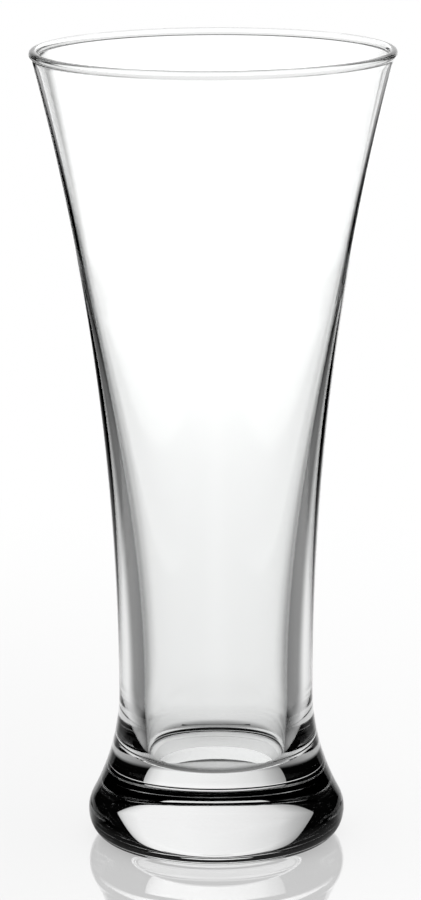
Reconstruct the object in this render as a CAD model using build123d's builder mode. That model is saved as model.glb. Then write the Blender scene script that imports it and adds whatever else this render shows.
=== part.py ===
"""Pilsner glass: a thin flared bowl fused to a heavy solid foot.

Millimetres, +Z up. The origin is the centre of the foot, on the plane that the glass rests on.
"""

import os
from math import asin, atan2, degrees, radians, sqrt, tan

from build123d import *

# Outside of the glass, heights taken from the resting plane
height = 185.0
rim_radius = 41.65
waist_radius = 22.6
waist_height = 35.2
foot_radius = 29.95
shoulder_radius = 8.2
heel_height = 6.35
heel_width = 5.0

# Rounded lip, which stands out from both faces of the wall
lip_swell = 0.4
lip_blend = 0.8

# Inside of the bowl
wall_thickness = 1.1
thin_wall_height = 140.0
bore_radius = 16.75
bore_top_height = 35.0
floor_height = 18.7
floor_corner_radius = 2.5

# Glass between the inside of the bowl and the disc where bowl and foot are fused
floor_thickness = 4.5

# Shallow hollow under the foot, inside the ring that it stands on
recess_radius = 17.5
recess_depth = 2.2
recess_edge_radius = 0.6

seam_height = floor_height - floor_thickness
lip_radius = wall_thickness / 2 + lip_swell
lip_height = height - lip_radius

# The bowl's side is one arc, upright at the waist and passing through the rim
bowl_rise = height - waist_height
bowl_spread = rim_radius - waist_radius
side_radius = (bowl_rise**2 + bowl_spread**2) / (2 * bowl_spread)
inside_radius = side_radius + wall_thickness

# Waist and widest ring are joined by two arcs that turn through the same angle
foot_drop = waist_height - heel_height
foot_spread = foot_radius - waist_radius
flare_angle = 2 * degrees(atan2(foot_spread, foot_drop))
flare_radius = (foot_drop**2 + foot_spread**2) / (2 * foot_spread) - shoulder_radius


def side_angle(level, radius):
    """Lean of the bowl's side, in degrees, where an arc of this radius crosses a height."""
    return degrees(asin((level - waist_height) / radius))


def inside_point(level):
    """Point of the thin wall's inner face at a height."""
    reach = sqrt(inside_radius**2 - (level - waist_height) ** 2)
    return Vector(waist_radius + side_radius - reach, level)


def envelope():
    """Half section of the whole glass as if it were solid, from the resting plane to the lip."""
    with BuildSketch(Plane.XZ) as section:
        with BuildLine():
            rest = Line((0, 0), (foot_radius - heel_width, 0))
            heel_centre = (foot_radius - heel_width, heel_height)
            heel = EllipticalCenterArc(heel_centre, heel_width, heel_height, -90, arc_size=90)
            shoulder = JernArc(heel @ 1, heel % 1, shoulder_radius, flare_angle)
            flare = JernArc(shoulder @ 1, shoulder % 1, flare_radius, -flare_angle)
            side = JernArc(flare @ 1, flare % 1, side_radius, -side_angle(lip_height, side_radius))
            Polyline(side @ 1, (0, lip_height), rest @ 0)
        make_face()
    return section.sketch


os.makedirs("parts", exist_ok=True)

with BuildPart() as bowl:
    revolve(envelope(), axis=Axis.Z)
    split(bisect_by=Plane.XY.offset(seam_height), keep=Keep.TOP)

    # Inside: flat floor, rounded corner, straight bore, then a wall that thins out as it rises
    with BuildSketch(Plane.XZ):
        with BuildLine():
            inner_floor = Line((0, floor_height), (bore_radius - floor_corner_radius, floor_height))
            corner = JernArc(inner_floor @ 1, inner_floor % 1, floor_corner_radius, 90)
            bore = Line(corner @ 1, (bore_radius, bore_top_height))
            thin_end = inside_point(thin_wall_height)
            thin_lean = side_angle(thin_wall_height, inside_radius)
            third = (thin_wall_height - bore_top_height) / 3
            upright = Vector(0, third)
            leaning = Vector(third * tan(radians(thin_lean)), third)
            taper = Bezier(bore @ 1, bore @ 1 + upright, thin_end - leaning, thin_end)
            lip_lean = side_angle(lip_height, inside_radius)
            upper = JernArc(thin_end, taper % 1, inside_radius, thin_lean - lip_lean)
            Polyline(upper @ 1, (0, lip_height), inner_floor @ 0)
        make_face()
    revolve(axis=Axis.Z, mode=Mode.SUBTRACT)

    # Lip: a round bead on the end of the wall, blended into both faces
    with BuildSketch(Plane.XZ):
        with Locations((inside_point(lip_height).X + wall_thickness / 2, lip_height)):
            Circle(lip_radius)
    revolve(axis=Axis.Z)
    lip_foot = bowl.edges().filter_by_position(Axis.Z, lip_height - lip_radius, lip_height)
    fillet(lip_foot.filter_by(GeomType.CIRCLE), lip_blend)
bowl.part.label = "bowl"
export_step(bowl.part, "parts/bowl.step")

with BuildPart() as foot:
    revolve(envelope(), axis=Axis.Z)
    split(bisect_by=Plane.XY.offset(seam_height), keep=Keep.BOTTOM)

    # Shallow dome under the middle, which leaves a flat ring to stand on
    with BuildSketch(Plane.XZ):
        with BuildLine():
            dome = TangentArc((0, recess_depth), (recess_radius, 0), tangent=(1, 0))
            Polyline(dome @ 1, (0, 0), dome @ 0)
        make_face()
    revolve(axis=Axis.Z, mode=Mode.SUBTRACT)
    fillet(foot.edges().group_by(Axis.Z)[0].sort_by(SortBy.RADIUS)[0], recess_edge_radius)
foot.part.label = "foot"
export_step(foot.part, "parts/foot.step")

for piece in (bowl, foot):
    print(piece.part.label, round(piece.part.volume / 1000, 1), "ml of glass")
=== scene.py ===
from math import acos, asin, atan2, cos, degrees, pi, radians, sin, sqrt, tan

import bmesh
import bpy
from mathutils import Matrix, Vector, geometry


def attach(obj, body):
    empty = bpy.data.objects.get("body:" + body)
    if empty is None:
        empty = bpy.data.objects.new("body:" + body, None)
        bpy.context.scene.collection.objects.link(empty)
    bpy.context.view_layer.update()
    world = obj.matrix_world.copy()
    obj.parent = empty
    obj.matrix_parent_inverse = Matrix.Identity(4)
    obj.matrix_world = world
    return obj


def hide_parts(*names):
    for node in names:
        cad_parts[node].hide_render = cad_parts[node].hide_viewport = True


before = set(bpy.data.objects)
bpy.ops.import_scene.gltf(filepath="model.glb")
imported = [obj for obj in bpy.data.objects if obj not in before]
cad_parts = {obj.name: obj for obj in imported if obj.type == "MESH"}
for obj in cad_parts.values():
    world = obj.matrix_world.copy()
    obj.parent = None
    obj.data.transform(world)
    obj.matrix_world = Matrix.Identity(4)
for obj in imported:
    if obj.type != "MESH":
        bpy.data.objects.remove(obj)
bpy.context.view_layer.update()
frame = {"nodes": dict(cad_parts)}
mm = 0.001
tiny = 1e-6  # metres, closer than this is the same place
scene = bpy.context.scene
print("frame loaded with", ", ".join(frame["nodes"]))


# Outline of the glass, shared by both pieces (millimetres above the table)
outline = {
    "height": 185.0,
    "rimRadius": 41.65,
    "waistRadius": 22.6,
    "waistHeight": 35.2,
    "footRadius": 29.95,
    "shoulderRadius": 8.2,
    "heelHeight": 6.35,
    "heelWidth": 5.0,
    "seamHeight": 14.2,
    "seamSteps": 6,
    "spinSteps": 256,
}
rise = outline["height"] - outline["waistHeight"]
spread = outline["rimRadius"] - outline["waistRadius"]
sideRadius = (rise**2 + spread**2) / (2 * spread)
drop = outline["waistHeight"] - outline["heelHeight"]
flare = outline["footRadius"] - outline["waistRadius"]
flareAngle = 2 * degrees(atan2(flare, drop))
flareRadius = (drop**2 + flare**2) / (2 * flare) - outline["shoulderRadius"]
seamAngle = degrees(asin((outline["waistHeight"] - outline["seamHeight"]) / flareRadius))
seamRadius = outline["waistRadius"] + flareRadius * (1 - cos(radians(seamAngle)))


# Draws a half section in the XZ plane, as a pen with a heading in degrees
class Pen:
    def __init__(self, x, z, heading):
        self.bm = bmesh.new()
        self.tip = self.bm.verts.new((x * mm, 0, z * mm))
        self.heading = heading

    def to(self, x, z):
        self.tip = bmesh.ops.extrude_vert_indiv(self.bm, verts=[self.tip])["verts"][0]
        self.tip.co = (x * mm, 0, z * mm)

    def line(self, x, z, steps):
        start = self.tip.co / mm
        for i in range(1, steps + 1):
            point = start.lerp((x, 0, z), i / steps)
            self.to(point.x, point.z)

    def arc(self, radius, turn, steps):
        side = radians(self.heading + (90 if turn > 0 else -90))
        centre = self.tip.co + Vector((cos(side), 0, sin(side))) * radius * mm
        made = bmesh.ops.spin(
            self.bm, geom=[self.tip], cent=centre, axis=(0, -1, 0), angle=radians(turn), steps=steps
        )
        self.tip = made["geom_last"][0]
        self.heading += turn

    def heel(self, width, height, steps):  # quarter of an ellipse, from level to upright
        start = self.tip.co / mm
        for i in range(1, steps + 1):
            turn = pi / 2 * i / steps
            self.to(start.x + width * sin(turn), start.z + height * (1 - cos(turn)))
        self.heading += 90

    def bezier(self, first, second, end, steps):
        start = (self.tip.co.x / mm, self.tip.co.z / mm)
        for point in geometry.interpolate_bezier(start, first, second, end, steps + 1)[1:]:
            self.to(point[0], point[1])


# Turns a half section round the axis, smooth except where the two pieces are fused
def turnOnLathe(name, pen, finishes):
    bm = pen.bm
    bmesh.ops.spin(
        bm, geom=bm.verts[:] + bm.edges[:], cent=(0, 0, 0), axis=(0, 0, 1),
        angle=2 * pi, steps=outline["spinSteps"], use_merge=True,
    )
    bmesh.ops.remove_doubles(bm, verts=bm.verts, dist=tiny)
    bmesh.ops.recalc_face_normals(bm, faces=bm.faces)
    seamLevel = outline["seamHeight"] * mm
    for face in bm.faces:
        face.smooth = True
        if all(abs(v.co.z - seamLevel) < tiny for v in face.verts):
            face.material_index = 1
    for edge in bm.edges:
        kinds = {face.material_index for face in edge.link_faces}
        edge.smooth = len(kinds) == 1
    mesh = bpy.data.meshes.new(name)
    bm.to_mesh(mesh)
    bm.free()
    for finish in finishes:
        mesh.materials.append(finish)
    piece = bpy.data.objects.new(name, mesh)
    scene.collection.objects.link(piece)
    print(name, "has", sum(len(p.vertices) - 2 for p in mesh.polygons), "triangles")
    return piece


# Wraps a socket, so that sums on values add Math nodes
class Wire:
    def __init__(self, tree, socket):
        self.tree, self.socket = tree, socket

    def node(self, kind, settings=None, inputs=None, output=0):
        made = self.tree.nodes.new(kind)
        for key, value in (settings or {}).items():
            if key == "stops":
                ramp = made.color_ramp
                while len(ramp.elements) < len(value):
                    ramp.elements.new(0.5)
                for element, (place, tone) in zip(ramp.elements, value):
                    element.position = place
                    element.color = (tone, tone, tone, 1)
            else:
                setattr(made, key, value)
        for key, value in (inputs or {}).items():
            if isinstance(value, Wire):
                self.tree.links.new(value.socket, made.inputs[key])
            else:
                made.inputs[key].default_value = value
        return Wire(self.tree, made.outputs[output] if len(made.outputs) else None)

    def out(self, name):
        return Wire(self.tree, self.socket.node.outputs[name])

    def math(self, operation, *others):
        return self.node("ShaderNodeMath", {"operation": operation}, dict(enumerate((self,) + others)))

    def __add__(self, other):
        return self.math("ADD", other)

    def __sub__(self, other):
        return self.math("SUBTRACT", other)

    def __rsub__(self, other):
        return self.node("ShaderNodeMath", {"operation": "SUBTRACT"}, {0: other, 1: self})

    def __mul__(self, other):
        return self.math("MULTIPLY", other)

    __radd__ = __add__
    __rmul__ = __mul__


def newMaterial(name):
    material = bpy.data.materials.new(name)
    material.use_nodes = True
    material.node_tree.nodes.clear()
    return material, Wire(material.node_tree, None)


# Clear fire-polished glass: faint waves from the blowing, and a breath of wear
clearGlass = {
    "ior": 1.5,
    "tint": (0.995, 1.0, 0.998, 1),
    "waveScale": 34.0,
    "waveDetail": 1.0,
    "waveRoughness": 0.4,
    "waveDepth": 0.000004,
    "hazeScale": 18.0,
    "hazeDetail": 5.0,
    "hazeRoughness": 0.6,
    "hazeFrom": 0.5,
    "hazeFull": 0.8,
    "roughest": 0.012,
}


def makeClearGlass():
    g = clearGlass
    material, wire = newMaterial("clearGlass")
    place = wire.node("ShaderNodeTexCoord", output="Object")
    waves = wire.node("ShaderNodeTexNoise", None, {
        "Vector": place,
        "Scale": g["waveScale"],
        "Detail": g["waveDetail"],
        "Roughness": g["waveRoughness"],
    })
    bump = wire.node("ShaderNodeBump", None, {"Height": waves, "Strength": 1.0, "Distance": g["waveDepth"]})
    haze = wire.node("ShaderNodeTexNoise", None, {
        "Vector": place,
        "Scale": g["hazeScale"],
        "Detail": g["hazeDetail"],
        "Roughness": g["hazeRoughness"],
    })
    wear = wire.node("ShaderNodeMapRange", {"interpolation_type": "SMOOTHSTEP"}, {
        "Value": haze,
        "From Min": g["hazeFrom"],
        "From Max": g["hazeFull"],
        "To Min": 0.0,
        "To Max": g["roughest"],
    })
    shader = wire.node("ShaderNodeBsdfPrincipled", None, {
        "Base Color": g["tint"],
        "Roughness": wear,
        "IOR": g["ior"],
        "Transmission Weight": 1.0,
        "Normal": bump,
    })
    wire.node("ShaderNodeOutputMaterial", None, {"Surface": shader})
    return material


# Where bowl and foot are fused the glass runs on, so that face isn't seen
def makeFusedFace():
    material, wire = newMaterial("fusedFace")
    shader = wire.node("ShaderNodeBsdfPrincipled", None, {
        "Alpha": 0.0,
        "IOR": clearGlass["ior"],
        "Transmission Weight": 1.0,
    })
    wire.node("ShaderNodeOutputMaterial", None, {"Surface": shader})
    return material


finishes = [makeClearGlass(), makeFusedFace()]
print("finishes made")


# Blown bowl: flared side, beaded lip, wall that thickens towards a rounded floor
bowlShape = {
    "lipSwell": 0.4,
    "lipBlend": 0.8,
    "wall": 1.1,
    "thinWallHeight": 140.0,
    "boreRadius": 16.75,
    "boreTopHeight": 35.0,
    "floorHeight": 18.7,
    "floorCorner": 2.5,
    "flareSteps": 50,
    "sideSteps": 110,
    "blendSteps": 5,
    "beadSteps": 26,
    "thinWallSteps": 46,
    "taperSteps": 72,
    "boreSteps": 10,
    "cornerSteps": 18,
    "floorSteps": 8,
}


def makeBowl():
    b = bowlShape
    centreX, centreZ = outline["waistRadius"] + sideRadius, outline["waistHeight"]
    insideRadius = sideRadius + b["wall"]
    beadRadius = b["wall"] / 2 + b["lipSwell"]
    beadHeight = outline["height"] - beadRadius
    beadX = centreX - sqrt(insideRadius**2 - (beadHeight - centreZ) ** 2) + b["wall"] / 2
    beadReach = sqrt((centreX - beadX) ** 2 + (beadHeight - centreZ) ** 2)
    beadAngle = degrees(asin((beadHeight - centreZ) / beadReach))
    # Blends between the bead and both faces of the wall, from their triangles with the side's centre
    across = beadRadius + b["lipBlend"]
    near, far = sideRadius - b["lipBlend"], insideRadius + b["lipBlend"]
    outerStart = beadAngle - degrees(acos((near**2 + beadReach**2 - across**2) / (2 * near * beadReach)))
    outerTurn = degrees(acos((beadReach**2 - near**2 - across**2) / (2 * near * across)))
    innerEnd = beadAngle - degrees(acos((far**2 + beadReach**2 - across**2) / (2 * far * beadReach)))
    innerTurn = degrees(acos((far**2 + across**2 - beadReach**2) / (2 * far * across)))

    pen = Pen(0, outline["seamHeight"], 0)
    pen.line(seamRadius, outline["seamHeight"], outline["seamSteps"])
    pen.heading = 90 + seamAngle
    pen.arc(flareRadius, -seamAngle, b["flareSteps"])
    pen.arc(sideRadius, -outerStart, b["sideSteps"])
    pen.arc(b["lipBlend"], -outerTurn, b["blendSteps"])
    pen.arc(beadRadius, 180 + outerStart - innerEnd + outerTurn + innerTurn, b["beadSteps"])
    pen.arc(b["lipBlend"], -innerTurn, b["blendSteps"])
    thinAngle = degrees(asin((b["thinWallHeight"] - centreZ) / insideRadius))
    pen.arc(insideRadius, innerEnd - thinAngle, b["thinWallSteps"])
    # The wall's inner face comes down to the bore as one curve, tangent at both ends
    thinX = centreX - insideRadius * cos(radians(thinAngle))
    third = (b["thinWallHeight"] - b["boreTopHeight"]) / 3
    lean = third * tan(radians(thinAngle))
    pen.bezier(
        (thinX - lean, b["thinWallHeight"] - third),
        (b["boreRadius"], b["boreTopHeight"] + third),
        (b["boreRadius"], b["boreTopHeight"]),
        b["taperSteps"],
    )
    pen.line(b["boreRadius"], b["floorHeight"] + b["floorCorner"], b["boreSteps"])
    pen.heading = 270
    pen.arc(b["floorCorner"], -90, b["cornerSteps"])
    pen.line(0, b["floorHeight"], b["floorSteps"])
    return turnOnLathe("blown_bowl", pen, finishes)


bowl = makeBowl()
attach(bowl, "root")
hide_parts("bowl")


# Pressed foot: rounded heel and shoulder, flat ring to stand on, shallow dome inside it
footShape = {
    "recessRadius": 17.5,
    "recessDepth": 2.2,
    "recessEdge": 0.6,
    "domeSteps": 20,
    "edgeSteps": 4,
    "ringSteps": 6,
    "heelSteps": 40,
    "shoulderSteps": 18,
    "flareSteps": 20,
}


def makeFoot():
    f = footShape
    domeRadius = (f["recessRadius"] ** 2 + f["recessDepth"] ** 2) / (2 * f["recessDepth"])
    edgeUp = domeRadius + f["recessEdge"] - f["recessDepth"]
    edgeX = sqrt((domeRadius + f["recessEdge"]) ** 2 - edgeUp**2)
    edgeTurn = degrees(atan2(edgeX, edgeUp))

    pen = Pen(0, f["recessDepth"], 0)
    pen.arc(domeRadius, -edgeTurn, f["domeSteps"])
    pen.arc(f["recessEdge"], edgeTurn, f["edgeSteps"])
    pen.line(outline["footRadius"] - outline["heelWidth"], 0, f["ringSteps"])
    pen.heel(outline["heelWidth"], outline["heelHeight"], f["heelSteps"])
    pen.arc(outline["shoulderRadius"], flareAngle, f["shoulderSteps"])
    pen.arc(flareRadius, seamAngle - flareAngle, f["flareSteps"])
    pen.line(0, outline["seamHeight"], outline["seamSteps"])
    return turnOnLathe("pressed_foot", pen, finishes)


foot = makeFoot()
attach(foot, "root")
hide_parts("foot")
print("glass turned")


# Camera at the photograph's height and distance (metres, degrees, millimetres of lens)
view = {
    "distance": 0.9445,
    "height": 0.2998,
    "pitch": 12.408,
    "yaw": 0.061,
    "roll": -0.26,
    "lens": 167.55,
    "sensor": 36.0,
    "farthest": 50.0,
}
cameraData = bpy.data.cameras.new("camera")
cameraData.lens = view["lens"]
cameraData.sensor_width = view["sensor"]
cameraData.clip_end = view["farthest"]
camera = bpy.data.objects.new("camera", cameraData)
yaw = Matrix.Rotation(radians(view["yaw"]), 4, "Z")
pitch = Matrix.Rotation(radians(90 - view["pitch"]), 4, "X")
roll = Matrix.Rotation(radians(view["roll"]), 4, "Z")
camera.matrix_world = Matrix.Translation((0, -view["distance"], view["height"])) @ yaw @ pitch @ roll
scene.collection.objects.link(camera)
scene.camera = camera


# The set turns to face the camera, so that it stands behind the glass in any view
turntable = bpy.data.objects.new("turntable", None)
scene.collection.objects.link(turntable)
toCamera = turntable.constraints.new("LOCKED_TRACK")
toCamera.target = camera
toCamera.track_axis = "TRACK_NEGATIVE_Y"
toCamera.lock_axis = "LOCK_Z"


def stagePiece(name, bm, material, seenByCamera):
    mesh = bpy.data.meshes.new(name)
    bm.to_mesh(mesh)
    bm.free()
    mesh.materials.append(material)
    piece = bpy.data.objects.new(name, mesh)
    scene.collection.objects.link(piece)
    piece.parent = turntable
    piece.visible_camera = seenByCamera
    piece.visible_diffuse = False
    piece.visible_shadow = seenByCamera
    material.cycles.emission_sampling = "NONE"
    return piece


# Upright rectangle across the view
def uprightSheet(left, right, low, high, away):
    bm = bmesh.new()
    corners = [(left, low), (right, low), (right, high), (left, high)]
    bm.faces.new([bm.verts.new((x, away, z)) for x, z in corners])
    return bm


# Backdrop: one glowing sheet that hangs behind the glass and curves over its top, with painted light that
# is dimmer to the left and brighter towards the bottom.
# The camera doesn't see it, and the room beside it and the gap under it stay dark
backdrop = {
    "left": -0.66,
    "right": 0.7,
    "drop": ((1.5, 0.165), (1.47, 0.66)),
    "curve": ((1.45, 0.8), (1.2, 0.8)),
    "curvePoints": 13,
    "front": (0.6, 0.8),
    "frontWidth": 0.4,
    "paintedLightAcross": [
        (0.0, 0.3), (0.06, 0.42), (0.13, 0.55), (0.21, 0.75), (0.29, 0.82), (0.37, 0.88),
        (0.48, 0.92), (0.6, 0.96), (0.84, 0.96), (0.93, 0.8), (1.0, 0.5),
    ],
    "paintedLightUp": [(0.0, 1.15), (0.3, 1.0), (1.0, 1.0)],
}


def makeBackdrop():
    b = backdrop
    material, wire = newMaterial("backdropPaintedGlow")
    place = wire.node("ShaderNodeTexCoord", output="Object")
    apart = wire.node("ShaderNodeSeparateXYZ", None, {0: place})
    across = wire.node("ShaderNodeMapRange", None, {
        "Value": apart.out("X"),
        "From Min": b["left"],
        "From Max": b["right"],
    })
    # Painted light: the sheet's glow is dimmer to the left and brighter towards the bottom
    acrossTone = wire.node("ShaderNodeValToRGB", {"stops": b["paintedLightAcross"]}, {0: across})
    upTone = wire.node("ShaderNodeValToRGB", {"stops": b["paintedLightUp"]}, {0: apart.out("Z")})
    multiply = {"data_type": "RGBA", "blend_type": "MULTIPLY"}
    tone = wire.node("ShaderNodeMix", multiply, {0: 1.0, 6: acrossTone, 7: upTone}, output=2)
    glow = wire.node("ShaderNodeEmission", None, {"Color": tone, "Strength": 1.0})
    wire.node("ShaderNodeOutputMaterial", None, {"Surface": glow})

    bm = bmesh.new()
    (bottomY, bottomZ), (bendY, bendZ) = b["drop"]
    tip = bm.verts.new((0, bottomY, bottomZ))
    bend = geometry.interpolate_bezier((bendY, bendZ), *b["curve"], b["front"], b["curvePoints"])
    for y, z in [(bendY, bendZ)] + [point[:2] for point in bend[1:]]:
        tip = bmesh.ops.extrude_vert_indiv(bm, verts=[tip])["verts"][0]
        tip.co = (0, y, z)
    bmesh.ops.translate(bm, vec=(b["left"], 0, 0), verts=bm.verts)
    made = bmesh.ops.extrude_edge_only(bm, edges=bm.edges[:])["geom"]
    farSide = [part for part in made if isinstance(part, bmesh.types.BMVert)]
    bmesh.ops.translate(bm, vec=(b["right"] - b["left"], 0, 0), verts=farSide)
    for vert in bm.verts:  # narrower towards its front edge
        forward = max(0.0, bendY - vert.co.y) / (bendY - b["front"][0])
        vert.co.x *= 1 - (1 - b["frontWidth"]) * forward
    stagePiece("backdrop", bm, material, False)

    # Only the table's polish shows the skirt, which closes the gap
    skirt = uprightSheet(b["left"], b["right"], 0, bottomZ, bottomY)
    stagePiece("skirt", skirt, material, False).visible_transmission = False


makeBackdrop()


# Black cards close behind the glass, seen only through it, as painted shade: two draw the dark lines along
# the bowl's sides, and a thin bar draws the one at the bottom of the foot
cards = {
    "left": {"left": -0.095, "right": -0.057, "low": 0.095, "high": 0.2, "away": 0.105},
    "right": {"left": 0.058, "right": 0.095, "low": 0.095, "high": 0.2, "away": 0.105},
    "bar": {"left": -0.013, "right": 0.013, "low": 0.0067, "high": 0.0082, "away": 0.042},
}


def makeCards():
    material, wire = newMaterial("blackCard")
    shader = wire.node("ShaderNodeBsdfDiffuse", None, {"Color": (0, 0, 0, 1)})
    wire.node("ShaderNodeOutputMaterial", None, {"Surface": shader})
    for name, size in cards.items():
        stagePiece("card_" + name, uprightSheet(**size), material, False).visible_glossy = False


makeCards()


# White glossy table. The camera sees plain white, with a shadow and a mirror image near the foot.
# Through the glass it glows with painted light instead: a bright strip with dark sides, which runs away
# behind the foot, with painted shadow under the foot and painted shade behind it
table = {
    "radius": 25.0,
    "segments": 128,
    "gap": -0.0001,
    # Seen by the camera
    "albedo": 0.99,
    "shade": 0.3,
    "mirror": 0.38,
    "mirrorLow": (0.15, 0.45),
    "fade": (0.08, 0.35),
    # Painted light: a glowing strip, with tones from its near end to its far end
    "near": -0.05,
    "far": 0.45,
    "tones": [
        (0.0, 0.12), (0.06, 0.2), (0.1, 0.3), (0.112, 0.6), (0.124, 0.88), (0.144, 0.8), (0.156, 0.58),
        (0.17, 0.6), (0.22, 0.75), (0.28, 0.9), (0.38, 0.97), (0.7, 1.1), (1.0, 1.3),
    ],
    "leftEdge": (0.035, 0.155),
    "leftSoft": (-0.02, 0.04),
    "rightEdge": (0.038, 0.33),
    "rightSoft": (-0.03, 0.03),
    # Painted light far out to both sides, for rays that graze the table
    "paintedSideLight": (0.31, 0.37),
    "sideLightTone": 1.2,
    "grazing": (0.9, 0.8),
    # Painted dim light beside the strip
    "beside": (0.2, 0.14),
    "besideNear": (0.02, 0.05),
    "besideTone": 0.22,
    # Polish close behind the foot
    "shinyNear": (0.03, 0.035),
    "shinyFar": (0.08, 0.06),
    "shinyLow": (0.52, 0.62),
    "shinyTone": 0.97,
    # Painted contact shadow under the foot, for steep rays
    "contactShadowNear": (0.014, 0.018),
    "contactShadowFar": (0.027, 0.025),
    "contactShadowSteep": (0.32, 0.2),
    # Painted shade: a dim half ring behind the foot
    "shadeRingNear": (0.033, 0.042),
    "shadeRingFar": (0.069, 0.058),
    "shadeRingWide": 1.93,
    "shadeRingDepth": 0.64,
}


def makeTable():
    t = table
    material, wire = newMaterial("tablePlasticAndPaintedLight")
    place = wire.node("ShaderNodeTexCoord", output="Object")
    apart = wire.node("ShaderNodeSeparateXYZ", None, {0: place})
    x, y = apart.out("X"), apart.out("Y")
    aside = x.math("ABSOLUTE")
    away = (x * x + y * y).math("SQRT")
    facing = wire.node("ShaderNodeLayerWeight", None, {"Blend": 0.5}, output="Facing")

    def soft(value, reach):
        return wire.node("ShaderNodeMapRange", {"interpolation_type": "SMOOTHSTEP"}, {
            "Value": value,
            "From Min": reach[0],
            "From Max": reach[1],
        })

    def mix(factor, first, second):
        return wire.node("ShaderNodeMixShader", None, {0: factor, 1: first, 2: second})

    def polish(tone):
        return wire.node("ShaderNodeBsdfGlossy", None, {"Color": (tone, tone, tone, 1), "Roughness": 0.0})

    # As the camera sees it
    white = wire.node("ShaderNodeBsdfDiffuse", None, {"Color": (t["albedo"],) * 3 + (1,)})
    bright = wire.node("ShaderNodeEmission", None, {"Color": (1, 1, 1, 1), "Strength": 1.0})
    shaded = mix(t["shade"], bright, white)
    polished = mix(soft(facing, t["mirrorLow"]) * t["mirror"], shaded, polish(1))
    direct = mix(soft(away, t["fade"]), polished, bright)

    # As the glass sees it: painted light and painted shade, glowing on the table
    behind = y.math("MAXIMUM", 0.0)
    leftReach = behind.math("SQRT") * t["leftEdge"][1]
    rightReach = behind * t["rightEdge"][1]
    leftward = soft(x + t["leftEdge"][0] + leftReach, t["leftSoft"])
    rightward = soft(t["rightEdge"][0] + rightReach - x, t["rightSoft"])
    middle = leftward * rightward
    along = wire.node("ShaderNodeMapRange", None, {"Value": y, "From Min": t["near"], "From Max": t["far"]})
    strip = wire.node("ShaderNodeValToRGB", {"stops": t["tones"]}, {0: along})
    # Painted light far out to both sides, for rays that graze the table
    paintedSideLight = soft(aside, t["paintedSideLight"]) * soft(facing, t["grazing"]) * t["sideLightTone"]
    # Painted dim light beside the strip
    beside = soft(aside, t["beside"]) * soft(y, t["besideNear"]) * t["besideTone"]
    # Painted contact shadow under the foot, for steep rays
    paintedContactShadow = soft(y, t["contactShadowNear"]) * soft(away, t["contactShadowFar"]) * soft(facing, t["contactShadowSteep"])
    # Painted shade: a dim half ring behind the foot
    oval = (x * x * t["shadeRingWide"] ** 2 + y * y).math("SQRT")
    paintedShadeRing = soft(y, t["shadeRingNear"]) * soft(oval, t["shadeRingFar"]) * t["shadeRingDepth"]
    tone = strip * middle * (1 - paintedContactShadow) * (1 - paintedShadeRing) + (1 - middle) * beside + paintedSideLight
    lit = wire.node("ShaderNodeEmission", None, {"Color": tone, "Strength": 1.0})
    shiny = soft(y, t["shinyNear"]) * soft(away, t["shinyFar"]) * soft(facing, t["shinyLow"])
    inGlass = mix(shiny, lit, polish(t["shinyTone"]))

    seen = wire.node("ShaderNodeLightPath", output="Is Camera Ray")
    wire.node("ShaderNodeOutputMaterial", None, {"Surface": mix(seen, inGlass, direct)})
    bm = bmesh.new()
    level = Matrix.Translation((0, 0, t["gap"]))
    bmesh.ops.create_circle(bm, cap_ends=True, segments=t["segments"], radius=t["radius"], matrix=level)
    stagePiece("table", bm, material, True)


makeTable()


# Room: white for the camera and for the light on the table, dark round the glass
room = {"dark": 0.001, "bounces": 10, "clearBounces": 64}
world = bpy.data.worlds.new("room")
scene.world = world
world.use_nodes = True
world.node_tree.nodes.clear()
world.cycles.sampling_method = "NONE"
air = Wire(world.node_tree, None)
ray = air.node("ShaderNodeLightPath", output="Is Camera Ray")
lit = ray.math("MAXIMUM", ray.out("Is Diffuse Ray"))
strength = lit * (1 - room["dark"]) + room["dark"]
glow = air.node("ShaderNodeBackground", None, {"Color": (1, 1, 1, 1), "Strength": strength})
air.node("ShaderNodeOutputWorld", None, {"Surface": glow})

scene.view_settings.view_transform = "Standard"
scene.cycles.max_bounces = room["bounces"]
scene.cycles.transmission_bounces = room["bounces"]
scene.cycles.glossy_bounces = room["bounces"]
scene.cycles.transparent_max_bounces = room["clearBounces"]
print("set and camera placed")
